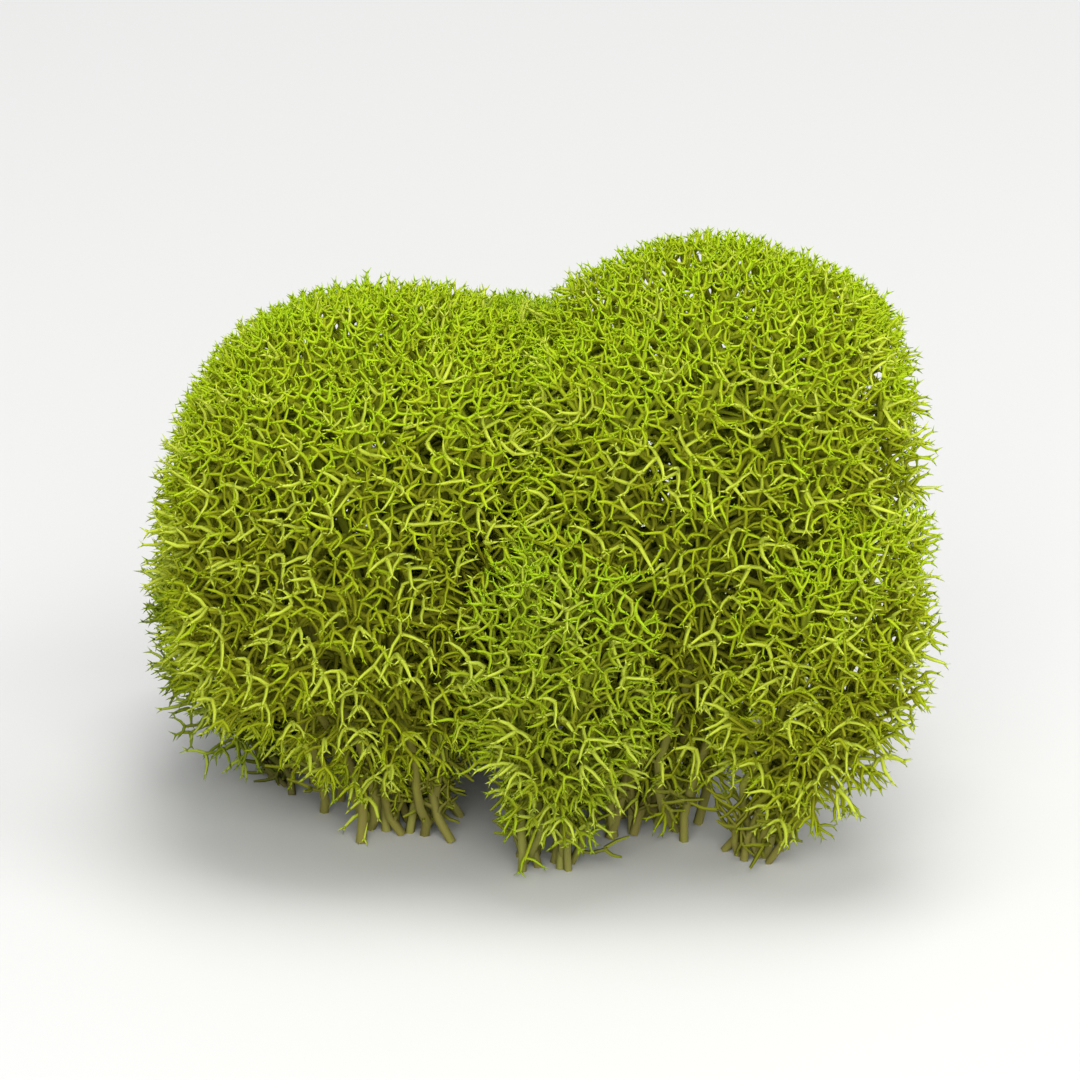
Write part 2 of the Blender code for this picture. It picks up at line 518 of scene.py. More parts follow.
@dataclass(frozen=True)
class Lean:
    """How the clump's tops lean to the right, more so on the right lobe."""

    least: float = 1.6 * MM
    more: float = 2.0 * MM
    across: Range = (-4 * MM, 14 * MM)
    height: Range = (22 * MM, 46 * MM)

    def at(self, place: Vector) -> float:
        """How far a place moves to the right."""
        aside = self.least + self.more * ramp(place.x, *self.across)
        return float(aside * ramp(place.z, *self.height))


@dataclass
class Surface:
    """The outside of a solid, with its loose triangles joined and its facets softened."""

    points: np.ndarray
    normals: np.ndarray
    triangles: np.ndarray
    foot: np.ndarray
    room: np.ndarray
    tree: BVHTree

    @classmethod
    def of(cls, solid: bpy.types.Object, lean: Lean, rounds: int = 3, softening: float = 0.5) -> "Surface":
        """Reads a solid.

        Args:
            solid: The object to read, which stays as it is.
            lean: How far its top moves aside.
            rounds: How many times the facets are softened.
            softening: How far a vertex moves towards its neighbours each time.

        Returns:
            The surface, in metres.
        """
        shape = bmesh.new()
        shape.from_mesh(solid.data)
        bmesh.ops.remove_doubles(shape, verts=shape.verts, dist=SAME_PLACE)
        bmesh.ops.triangulate(shape, faces=shape.faces)
        foot = np.array([vertex.co[:] for vertex in shape.verts if vertex.co.z < ON_GROUND])
        axes = {f"use_axis_{axis}": True for axis in "xyz"}
        for _ in range(rounds):
            bmesh.ops.smooth_vert(shape, verts=shape.verts, factor=softening, **axes)
        for vertex in shape.verts:
            vertex.co.x += lean.at(vertex.co)
        shape.normal_update()
        shape.verts.index_update()
        points = np.array([vertex.co[:] for vertex in shape.verts])
        normals = np.array([vertex.normal[:] for vertex in shape.verts])
        triangles = np.array([[vertex.index for vertex in face.verts] for face in shape.faces])
        shape.free()
        tree = BVHTree.FromPolygons(points.tolist(), triangles.tolist())
        return cls(points, normals, triangles, foot, np.zeros(len(points)), tree)

    @property
    def middle(self) -> np.ndarray:
        """The middle of its points."""
        return self.points.mean(axis=0)

    def depth(self, place: np.ndarray) -> float:
        """How deep a place is under the surface, below 0 if it is outside."""
        near, facing, _, distance = self.tree.find_nearest(place)
        return distance if (Vector(place) - near).dot(facing) < 0 else -distance

    def areas(self) -> np.ndarray:
        """Each triangle's area in square metres."""
        corners = self.points[self.triangles]
        sides = np.cross(corners[:, 1] - corners[:, 0], corners[:, 2] - corners[:, 0])
        return np.linalg.norm(sides, axis=1) / 2

    def scatter(self, amount: int, draws: np.random.Generator) -> tuple[np.ndarray, ...]:
        """Picks random places on the surface.

        Args:
            amount: How many places.
            draws: The source of random numbers.

        Returns:
            The places, the surface's normals there, and the room to the neighbours there.
        """
        areas = self.areas()
        chosen = draws.choice(len(areas), amount, p=areas / areas.sum())
        a, b = draws.random((2, amount, 1))
        over = a + b > 1
        a, b = np.where(over, 1 - a, a), np.where(over, 1 - b, b)
        shares = np.concatenate([1 - a - b, a, b], axis=1)
        corners = self.triangles[chosen]
        places = (self.points[corners] * shares[:, :, None]).sum(axis=1)
        facing = (self.normals[corners] * shares[:, :, None]).sum(axis=1)
        return places, unit(facing), (self.room[corners] * shares).sum(axis=1)


@dataclass
class Clump:
    """All the solids of the clump, each with the room that its neighbours leave."""

    surfaces: dict[str, Surface]

    @classmethod
    def of(cls, nodes: dict[str, bpy.types.Object], reach: float = 6 * MM) -> "Clump":
        """Reads the solids.

        Args:
            nodes: The solids by name.
            reach: The farthest room that is looked at.

        Returns:
            Their surfaces.
        """
        surfaces = {name: Surface.of(solid, Lean()) for name, solid in sorted(nodes.items())}
        for name, skin in surfaces.items():
            others = [surface.tree for other, surface in surfaces.items() if other != name]
            for index, point in enumerate(skin.points):
                found = (tree.find_nearest(point, reach)[3] for tree in others)
                skin.room[index] = min((near for near in found if near is not None), default=reach)
        return cls(surfaces)


class Value(IntEnum):
    """What a skeleton knows of each of its points."""

    THICKNESS = 0
    AGE = 1
    TINT = 2
    LIMB = 3


@dataclass
class Skeleton:
    """Branches as lines of points, each with its thickness, age, tint and growing direction."""

    lines: list[np.ndarray] = field(default_factory=list)
    values: list[np.ndarray] = field(default_factory=list)
    tips: list[tuple[int, np.ndarray, float]] = field(default_factory=list)
    count: int = 0

    def add(self, line: np.ndarray, thickness: Range, age: Range, tint: float, limb: bool = False) -> None:
        """Adds one branch.

        Args:
            line: Its points.
            thickness: Its radius at the start and at the end.
            age: Its age on the colour map at the start and at the end.
            tint: Its tint on the colour map.
            limb: Whether it is thick enough to look round.
        """
        steps = np.linspace(0.0, 1.0, len(line))
        own = np.empty((len(line), len(Value)))
        own[:, Value.THICKNESS] = between(thickness, steps)
        own[:, Value.AGE] = between(age, steps)
        own[:, Value.TINT] = tint
        own[:, Value.LIMB] = limb
        self.lines.append(line)
        self.values.append(own)
        self.count += len(line)

    def end_in_whorl(self, growth: np.ndarray, size: float) -> None:
        """Makes the last point a tip with a whorl of prongs.

        Args:
            growth: The direction that the whorl opens in.
            size: The whorl's size beside a usual one.
        """
        self.tips.append((self.count - 1, growth, size))

    def mesh(self, name: str) -> bpy.types.Mesh:
        """Turns the branches into a mesh of edges.

        Args:
            name: The mesh's name.

        Returns:
            The mesh, with one attribute for each value.
        """
        points = np.concatenate(self.lines)
        values = np.concatenate(self.values).astype(np.float32)
        firsts = np.concatenate([np.arange(len(line) - 1) for line in self.lines])
        starts = np.cumsum([0] + [len(line) for line in self.lines[:-1]])
        firsts += np.repeat(starts, [len(line) - 1 for line in self.lines])
        mesh = bpy.data.meshes.new(name)
        mesh.vertices.add(len(points))
        mesh.vertices.foreach_set("co", points.astype(np.float32).ravel())
        mesh.edges.add(len(firsts))
        mesh.edges.foreach_set("vertices", np.stack([firsts, firsts + 1], axis=1).astype(np.int32).ravel())
        growth = np.zeros((len(points), 3), np.float32)
        whorl = np.zeros(len(points), np.float32)
        number = np.zeros(len(points), np.int32)
        for order, (index, direction, size) in enumerate(self.tips):
            growth[index], whorl[index], number[index] = direction, size, order
        for title, kind, own in (
            ("thickness", "FLOAT", values[:, Value.THICKNESS].copy()),
            ("age", "FLOAT", values[:, Value.AGE].copy()),
            ("tint", "FLOAT", values[:, Value.TINT].copy()),
            ("is_limb", "BOOLEAN", values[:, Value.LIMB] > 0),
            ("growth", "FLOAT_VECTOR", growth.ravel()),
            ("whorl", "FLOAT", whorl),
            ("is_tip", "BOOLEAN", whorl > 0),
            ("tip_number", "INT", number),
        ):
            kept = mesh.attributes.new(title, kind, "POINT")
            kept.data.foreach_set("vector" if kind == "FLOAT_VECTOR" else "value", own)
        return mesh


@dataclass(frozen=True)
class Habit:
    """How reindeer lichen grows: the sizes that all podetia share.

    Ranges of facing, of room and of height run from where an effect starts to where it is full. A facing
    is the upward part of the surface's normal, and a room is the distance to a neighbour.
    """

    # Branches and their forks
    tip_radius: float = 0.15 * MM
    thickening: float = 0.20
    fork_depth: float = 1.4
    fork_reach: float = 0.8
    fork_pulls: Range = (0.6, 0.4)
    root_height: float = 0.55
    least_width: float = 0.5 * MM
    most_on_fork: int = 4
    fork_parts: tuple[int, ...] = (3, 4, 5)
    fork_chances: tuple[float, ...] = (0.35, 0.45, 0.2)
    split_share: Range = (0.4, 0.6)
    foot_widening: float = 1.25
    fork_narrowing: float = 0.92
    twig_widening: float = 1.1
    # A branch's line, with how much its parent's or its own direction and the straight way pull at it
    step: float = 2.2 * MM
    line_points: tuple[int, int] = (3, 14)
    start_pulls: Range = (0.45, 0.75)
    end_pulls: Range = (0.6, 0.5)
    wander: float = 0.09
    wander_length: float = 4 * MM
    wander_gain: float = 1.5
    # The colour map: deeper under the crown is lower and darker on it, partly painted shade, and a branch's
    # tint drops below its tips' as painted shade
    painted_shade_depth: float = 5.5 * MM
    oldest: float = 0.04
    youngest: float = 0.89
    tint_drop: float = 0.04
    tint_stray: float = 0.03
    tint_limits: Range = (0.05, 0.95)
    # How closely the tips stand
    candidates: int = 6
    search_cell: float = 1.5
    topward: Range = (-0.15, 0.75)
    underside: Range = (-0.9, -0.3)
    touching: Range = (0.36 * MM, 0.9 * MM)
    touching_loss: float = 0.9
    side_crowding: Gain = (0.50, 0.50)
    under_crowding: Gain = (0.5, 0.5)
    least_crowding: float = 0.04
    # How deep they are: ragged and crease_depth are in millimetres, and grow from the top to the sides
    ragged: Gain = (0.6, 1.2)
    ragged_power: float = 1.5
    cushion: float = 5.5 * MM
    crease_width: float = 0.30
    crease_depth: Gain = (0.3, 0.9)
    star_chance: Gain = (0.05, 0.22)
    star_depth: float = 0.35 * MM
    shelter: Range = (0.4 * MM, 4.5 * MM)
    swell: float = 1.5 * MM
    lift: float = 0.20 * MM
    overhang: Range = (0.1, 0.8)
    skirt: float = 4.0 * MM
    lowest_tip: float = 1.5 * MM
    # Their whorls, beside a usual one
    outward_pull: float = 0.5
    growth_stray: float = 0.40
    whorl: float = 1.10
    top_whorl_loss: float = 0.26
    star_whorl_gain: float = 0.38
    whorl_stray: Range = (0.85, 1.15)
    # Twigs inside the crown
    infill_candidates: int = 5
    infill_thickness: float = 1.75
    infill_widening: float = 1.15
    infill_whorl: Range = (2.1, 3.0)
    infill_depth: Range = (2.0 * MM, 7.5 * MM)
    infill_slack: float = 0.9
    infill_overlap: float = 1 * MM
    infill_stray: float = 0.5
    infill_ageing: float = 0.15
    infill_youngest: float = 0.68
    least_whorl: float = 0.3
    whorl_room: float = 1.5 * MM
    # Stalks and their short side shoots
    stalk_lean: float = 0.38
    foot_share: Range = (0.45, 0.95)
    foot_stray: float = 0.12
    least_aside: float = 1 * MM
    shoots_apart: float = 2.2 * MM
    shoot_shares: Range = (0.05, 0.95)
    shoot_length: float = 2.2 * MM
    shoot_lengths: Range = (0.6, 1.3)
    shoot_outward: float = 0.8
    shoot_along: float = 0.55
    shoot_upward: float = 0.25
    shoot_lowest: float = 0.6 * MM
    shoot_highest: float = 0.8
    shoot_thickness: Range = (1.35, 1.15)
    shoot_ageing: float = 0.12
    shoot_whorl: Range = (1.3, 1.8)

    def radius(self, carried: int) -> float:
        """The radius of a branch that carries a number of tips."""
        return self.tip_radius * carried**self.thickening

    def age(self, depth: float) -> float:
        """Where a place this deep under the crown's surface is on the colour map: deeper places sit lower
        and darker on it, partly painted shade inside the crown.
        """
        return max(self.youngest * math.exp(-depth / self.painted_shade_depth), self.oldest)


@dataclass(frozen=True)
class Tinting:
    """Where a crown's tips are across the colour map, from dark to lush, with the pale stars apart.

    The lift for height and for facing up is painted light, the drop in creases is painted shade, the patch
    and stray are random tone, and the pale stars are partly a painted highlight.
    """

    least: float = 0.28
    painted_light_for_height: float = 0.27
    painted_light_for_top: float = 0.26
    for_patch: float = 0.18
    painted_shade_for_crease: float = -0.12
    for_shelter: float = 0.10
    stray: float = 0.10
    heights: Range = (6 * MM, 44 * MM)
    patch: float = 6 * MM
    limits: Range = (0.24, 0.94)
    star: Range = (0.04, 0.12)


class Tips(NamedTuple):
    """A crown's tips: their places, growing directions, tints and whorl sizes."""

    places: np.ndarray
    growth: np.ndarray
    tints: np.ndarray
    whorls: np.ndarray


@dataclass
class Podetium:
    """One lichen plant: stalks that fork again and again up to the whorls of its crown.

    Its tips stand one spacing apart where they are closest, and its painted light, a lift towards the lit
    end of the colour map, is added to their tints.
    """

    name: str
    dye: Dye
    stalks: int
    spacing: float = 1.0 * MM
    seed: int = 1
    painted_light: float = 0.0
    infill_apart: float = 1.65 * MM
    stalk_zone: Range = (2 * MM, 7 * MM)
    habit: Habit = Habit()
    tinting: Tinting = Tinting()
    skin: Surface = field(init=False)
    draws: np.random.Generator = field(init=False)
    skeleton: Skeleton = field(init=False)

    @property
    def node(self) -> str:
        """The solid that this plant stands for."""
        return f"{self.name}_podetium"

    def build(self, clump: Clump, tree: bpy.types.NodeTree, finish: bpy.types.Material) -> Any:
        """Grows the plant and makes it a piece of the object.

        Args:
            clump: The solids of the clump.
            tree: The Geometry Nodes tree that makes strands.
            finish: The plant's material.

        Returns:
            The piece.
        """
        self.skin = clump.surfaces[self.node]
        self.draws = np.random.default_rng(self.seed)
        self.skeleton = Skeleton()
        tips = self._sprout()
        self._grow(tips)
        self._fill_in()
        values = {"Seed": self.seed, "Material": finish}
        piece = run_tree(f"{self.name}_lichen", self.skeleton.mesh(self.name), tree, values)
        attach(piece, ROOT_BODY)
        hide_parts(self.node)
        piece.data.calc_loop_triangles()
        amount = len(tips.places)
        log.info("%s: %d tips, %d triangles", piece.name, amount, len(piece.data.loop_triangles))
        return piece

    def _sprout(self) -> Tips:
        """Spreads the tips over the crown: finest on top, open in front, sparse where neighbours touch.

        Returns:
            The tips.
        """
        habit, draws = self.habit, self.draws
        amount = int(self.skin.areas().sum() / self.spacing**2 * habit.candidates)
        places, facing, room = self.skin.scatter(amount, draws)
        topward = ramp(facing[:, 2], *habit.topward)
        crowding = self._crowding(places, facing, room, topward)
        apart = self.spacing / np.sqrt(np.maximum(crowding, habit.least_crowding))
        kept = self._spread(places, apart, crowding > habit.least_crowding)
        places, facing, room, topward = places[kept], facing[kept], room[kept], topward[kept]
        crease = np.array([self._crease(place) for place in places])
        shelter = 1 - ramp(room, *habit.shelter)
        tints, star = self._tints(places, topward, crease, shelter)
        ragged = grown(habit.ragged, 1 - topward) * MM * draws.random(len(places)) ** habit.ragged_power
        sunken = crease * grown(habit.crease_depth, 1 - topward) * MM
        depth = np.where(star, habit.star_depth, ragged) + sunken
        depth -= habit.swell * shelter + habit.lift
        places = places - facing * depth[:, None]
        hang = habit.skirt * ramp(-facing[:, 2], *habit.overhang) * draws.random(len(places))
        places[:, 2] = np.maximum(places[:, 2] - hang, habit.lowest_tip)
        outward = unit(places - self.skin.middle)
        stray = draws.normal(0, habit.growth_stray, places.shape)
        growth = unit(facing + habit.outward_pull * outward + stray)
        whorls = habit.whorl - habit.top_whorl_loss * topward + habit.star_whorl_gain * star
        return Tips(places, growth, tints, whorls * draws.uniform(*habit.whorl_stray, len(places)))

    def _crowding(self, places: np.ndarray, facing: np.ndarray, room: Any, topward: Any) -> np.ndarray:
        """How closely the tips stand.

        Args:
            places: The places on the surface.
            facing: The surface's normals there.
            room: The room to the neighbours there.
            topward: How much each place faces up, from 0 to 1.

        Returns:
            The crowding at each place, from 0 to 1.
        """
        habit = self.habit
        touching = 1 - ramp(room, *habit.touching)
        crowding = (1 - habit.touching_loss * touching) * ramp(places[:, 2], *self.stalk_zone)
        under = grown(habit.under_crowding, ramp(facing[:, 2], *habit.underside))
        return crowding * (grown(habit.side_crowding, topward) * under)

    def _tints(self, places: np.ndarray, topward: Any, crease: Any, shelter: Any) -> tuple[np.ndarray, ...]:
        """Gives each tip its tint, and makes a few of them pale stars.

        Args:
            places: The tips' places on the surface.
            topward: How much each place faces up, from 0 to 1.
            crease: How deep each place is in a crease, from 0 to 1.
            shelter: How near each place is to a neighbour, from 0 to 1.

        Returns:
            The tints, and which tips are stars.
        """
        own, draws = self.tinting, self.draws
        patch = np.array([noise.noise(Vector(place) / own.patch) for place in places])
        # Painted light makes high and upward-facing tips lighter, and painted shade makes tips in creases
        # darker
        height = ramp(places[:, 2], *own.heights)
        tints = own.least + self.painted_light + own.painted_light_for_height * height + own.painted_light_for_top * topward
        tints += own.for_patch * patch
        stray = draws.normal(0, own.stray, len(places))
        tints += stray + own.painted_shade_for_crease * crease + own.for_shelter * shelter
        # Pale stars, more on the sides and front: partly paler tips, partly a painted highlight on the
        # side-lit strands
        star = draws.random(len(places)) < grown(self.habit.star_chance, 1 - topward)
        pale = draws.uniform(*own.star, len(places))
        return np.where(star, pale, np.clip(tints, *own.limits)), star

    def _crease(self, place: np.ndarray) -> float:
        """How deep a place is in the creases between the crown's small cushions, from 0 to 1."""
        near = noise.voronoi(Vector(place) / self.habit.cushion)[0]
        return 1 - float(ramp(near[1] - near[0], 0.0, self.habit.crease_width))

    def _spread(self, places: np.ndarray, apart: np.ndarray, usable: np.ndarray) -> np.ndarray:
        """Keeps only places that are far enough from those kept before.

        Args:
            places: The places to choose from.
            apart: The distance that each place needs.
            usable: Which places may be kept at all.

        Returns:
            The indices of the kept places.
        """
        cell = self.spacing * self.habit.search_cell
        cells: dict[tuple[int, int, int], list[int]] = {}
        keys = np.floor(places / cell).astype(int)
        kept = []
        for index in np.flatnonzero(usable):
            need = apart[index]
            reach = int(math.ceil(need / cell))
            x, y, z = keys[index]
            around = [
                other
                for i in range(x - reach, x + reach + 1)
                for j in range(y - reach, y + reach + 1)
                for k in range(z - reach, z + reach + 1)
                for other in cells.get((i, j, k), ())
            ]
            if around and (((places[around] - places[index]) ** 2).sum(axis=1) < need * need).any():
                continue
            cells.setdefault((x, y, z), []).append(index)
            kept.append(index)
        return np.array(kept)

    def _split(self, places: np.ndarray, ids: np.ndarray, parts: int) -> list[np.ndarray]:
        """Divides tips into groups of near ones.

        Args:
            places: The places of all tips.
            ids: The tips to divide.
            parts: How many groups.

        Returns:
            The groups, as arrays of tip indices.
        """
        groups = [ids]
        while len(groups) < parts:
            largest = max(range(len(groups)), key=lambda number: len(groups[number]))
            whole = groups.pop(largest)
            own = places[whole] - places[whole].mean(axis=0)
            _, directions = np.linalg.eigh(own.T @ own)
            order = np.argsort(own @ directions[:, -1])
            cut = int(round(len(whole) * self.draws.uniform(*self.habit.split_share)))
            cut = min(max(cut, 1), len(whole) - 1)
            groups += [whole[order[:cut]], whole[order[cut:]]]
        return groups

    def _grow(self, tips: Tips) -> None:
        """Grows all stalks with their forks and side shoots.

        Args:
            tips: The tips that the stalks lead to.
        """
        habit, draws = self.habit, self.draws
        groups = self._split(tips.places, np.arange(len(tips.places)), self.stalks)
        feet = self._feet([tips.places[ids].mean(axis=0) for ids in groups])
        for ids, start in zip(groups, feet):
            lean = draws.normal(0, habit.stalk_lean, 3) * LEVEL
            waiting = [(ids, start, unit(UP + lean), None)]
            while waiting:
                ids, start, heading, before = waiting.pop()
                fork, leaving, depth = self._fork_place(tips.places[ids], start)
                radius = habit.radius(len(ids))
                # Deeper forks sit lower and darker on the colour map, partly painted shade, and a branch's
                # tint is a little darker than its tips', painted shade
                age = habit.age(depth)
                tint = float(tips.tints[ids].mean()) - habit.tint_drop + draws.normal(0, habit.tint_stray)
                tint = min(max(tint, habit.tint_limits[0]), habit.tint_limits[1])
                first = before or (radius * habit.foot_widening, habit.oldest)
                line = self._bend(start, fork, heading, leaving, rise=before is None)
                limb = len(ids) > habit.most_on_fork
                self.skeleton.add(line, (first[0], radius), (first[1], age), tint, limb)
                if before is None:
                    self._side_shoots(line, (first[1], age), tint)
                if limb:
                    parts = int(draws.choice(habit.fork_parts, p=habit.fork_chances))
                    parts = min(parts, max(2, len(ids) // 2))
                    for group in self._split(tips.places, ids, parts):
                        waiting.append((group, fork, leaving, (radius * habit.fork_narrowing, age)))
                else:
                    self._end(tips, ids, fork, leaving, age)

    def _end(self, tips: Tips, ids: np.ndarray, fork: np.ndarray, leaving: np.ndarray, age: float) -> None:
        """Grows the last twigs from a fork to its tips.

        Args:
            tips: All tips.
            ids: The fork's own tips.
            fork: The fork's place.
            leaving: The branch's direction there.
            age: The branch's age there.
        """
        thin = self.habit.tip_radius
        for tip in ids:
            growth = tips.growth[tip]
            twig = self._bend(fork, tips.places[tip], leaving, growth, points=3)
            thickness = (thin * self.habit.twig_widening, thin)
            self.skeleton.add(twig, thickness, (age, self.habit.youngest), float(tips.tints[tip]))
            self.skeleton.end_in_whorl(growth, float(tips.whorls[tip]))

    def _side_shoots(self, line: np.ndarray, age: Range, tint: float) -> None:
        """Puts short shoots along a branch, which fill the crown's inside and hide its stalks.

        Args:
            line: The branch's points.
            age: The branch's age at its start and end.
            tint: The branch's tint.
        """
        habit, draws, middle = self.habit, self.draws, self.skin.middle
        thickness = tuple(habit.tip_radius * wide for wide in habit.shoot_thickness)
        length = float(np.linalg.norm(np.diff(line, axis=0), axis=1).sum())
        for _ in range(int(length / habit.shoots_apart + draws.random())):
            share = draws.uniform(*habit.shoot_shares)
            at = share * (len(line) - 1)
            low = min(int(at), len(line) - 2)
            base = line[low] + (line[low + 1] - line[low]) * (at - low)
            along = unit(line[low + 1] - line[low])
            aside = draws.normal(0, 1, 3) + habit.shoot_outward * unit((base - middle) * LEVEL)
            aside = unit(aside - along * float(aside @ along))
            growth = unit(aside + habit.shoot_along * along + habit.shoot_upward * UP)
            end = base + growth * (habit.shoot_length * draws.uniform(*habit.shoot_lengths))
            if end[2] < habit.shoot_lowest:
                continue
            shoot = self._bend(base, end, along, growth, points=3)
            if end[2] > habit.shoot_highest * middle[2]:
                continue
            own = between(age, share)
            self.skeleton.add(shoot, thickness, (own, own + habit.shoot_ageing), tint)
            self.skeleton.end_in_whorl(growth, draws.uniform(*habit.shoot_whorl))

    def _fill_in(self) -> None:
        """Fills the crown under its tips with short twigs that grow from the nearest limbs."""
        habit, draws, skeleton = self.habit, self.draws, self.skeleton
        limbs = [index for index, own in enumerate(skeleton.values) if own[0, Value.LIMB]]
        bases = np.concatenate([skeleton.lines[index][1:] for index in limbs])
        values = np.concatenate([skeleton.values[index][1:] for index in limbs])
        amount = int(self.skin.areas().sum() / self.infill_apart**2 * habit.infill_candidates)
        places, facing, _ = self.skin.scatter(amount, draws)
        places = places - facing * draws.uniform(*habit.infill_depth, (amount, 1))
        wanted = places[:, 2] > self.stalk_zone[1] - habit.infill_overlap
        kept = self._spread(places, np.full(amount, self.infill_apart), wanted)
        thin = habit.tip_radius * habit.infill_thickness
        for place, outward in zip(places[kept], facing[kept]):
            depth = self.skin.depth(place)
            if depth < habit.infill_depth[0] * habit.infill_slack:
                continue
            nearest = int(((bases - place) ** 2).sum(axis=1).argmin())
            base, own = bases[nearest], values[nearest]
            growth = unit(outward + unit(place - base) + draws.normal(0, habit.infill_stray, 3))
            twig = self._bend(base, place, unit(place - base), growth, points=3)
            age = own[Value.AGE]
            ages = (age, min(age + habit.infill_ageing, habit.infill_youngest))
            skeleton.add(twig, (thin * habit.infill_widening, thin), ages, float(own[Value.TINT]))
            size = draws.uniform(*habit.infill_whorl)
            skeleton.end_in_whorl(growth, min(size, habit.least_whorl + depth / habit.whorl_room))

    def _fork_place(self, places: np.ndarray, start: np.ndarray) -> tuple[np.ndarray, np.ndarray, float]:
        """Where a branch forks to reach its tips.

        Args:
            places: The places of the branch's own tips.
            start: Where the branch starts.

        Returns:
            The fork's place, the branch's direction there, and its depth under the tips.
        """
        habit = self.habit
        centre = places.mean(axis=0)
        width = math.sqrt(((places - centre) ** 2).sum(axis=1).mean())
        root = self.skin.middle * np.array([1.0, 1.0, habit.root_height])
        to_root, to_start = habit.fork_pulls
        inward = unit(to_root * unit(root - centre) + to_start * unit(start - centre))
        room = habit.fork_reach * np.linalg.norm(start - centre)
        depth = min(habit.fork_depth * max(width, habit.least_width), room)
        return centre + inward * depth, -inward, depth

    def _bend(
        self,
        start: np.ndarray,
        end: np.ndarray,
        heading: np.ndarray,
        leaving: np.ndarray,
        points: int = 0,
        rise: bool = False,
    ) -> np.ndarray:
        """A branch's line, which starts and ends in given directions and wanders a little between.

        Args:
            start: Its first point.
            end: Its last point.
            heading: Its parent's direction.
            leaving: Its own direction at the end.
            points: How many points, or 0 to follow its length.
            rise: Whether it keeps its heading for a while, as a stalk does.

        Returns:
            The points.
        """
        habit = self.habit
        length = float(np.linalg.norm(end - start))
        points = points or int(np.clip(round(length / habit.step) + 2, *habit.line_points))
        straight = (end - start) / max(length, TINY)
        pulls = habit.start_pulls
        first = (heading if rise else unit(pulls[0] * heading + pulls[1] * straight)) * length
        last = unit(habit.end_pulls[0] * leaving + habit.end_pulls[1] * straight) * length
        t = np.linspace(0.0, 1.0, points)[:, None]
        line = (
            (2 * t**3 - 3 * t**2 + 1) * start
            + (t**3 - 2 * t**2 + t) * first
            + (3 * t**2 - 2 * t**3) * end
            + (t**3 - t**2) * last
        )
        stray = self.draws.normal(0, habit.wander * min(length, habit.wander_length), (points, 3))
        stray[0] = stray[-1] = 0.0
        stray[1:-1] = 0.5 * stray[1:-1] + 0.25 * (stray[:-2] + stray[2:])
        return line + stray * habit.wander_gain

    def _feet(self, crowns: list[np.ndarray]) -> list[np.ndarray]:
        """Places each stalk's cut end, on the side of the foot that its part of the crown is on.

        Args:
            crowns: The middle of each stalk's part of the crown.

        Returns:
            One place on the ground for each stalk.
        """
        habit, draws, foot = self.habit, self.draws, self.skin.foot
        middle = (foot.min(axis=0) + foot.max(axis=0)) / 2
        half = ((foot.max(axis=0) - foot.min(axis=0)) / 2)[:2]
        wanted = np.array(crowns)[:, :2] - np.mean(crowns, axis=0)[:2]
        far = np.maximum(np.abs(wanted).max(axis=0), habit.least_aside)
        spots = wanted / far * half * draws.uniform(*habit.foot_share, (len(wanted), 1))
        spots += draws.normal(0, habit.foot_stray, spots.shape) * half
        return [np.array([middle[0] + x, middle[1] + y, 0.0]) for x, y in spots]


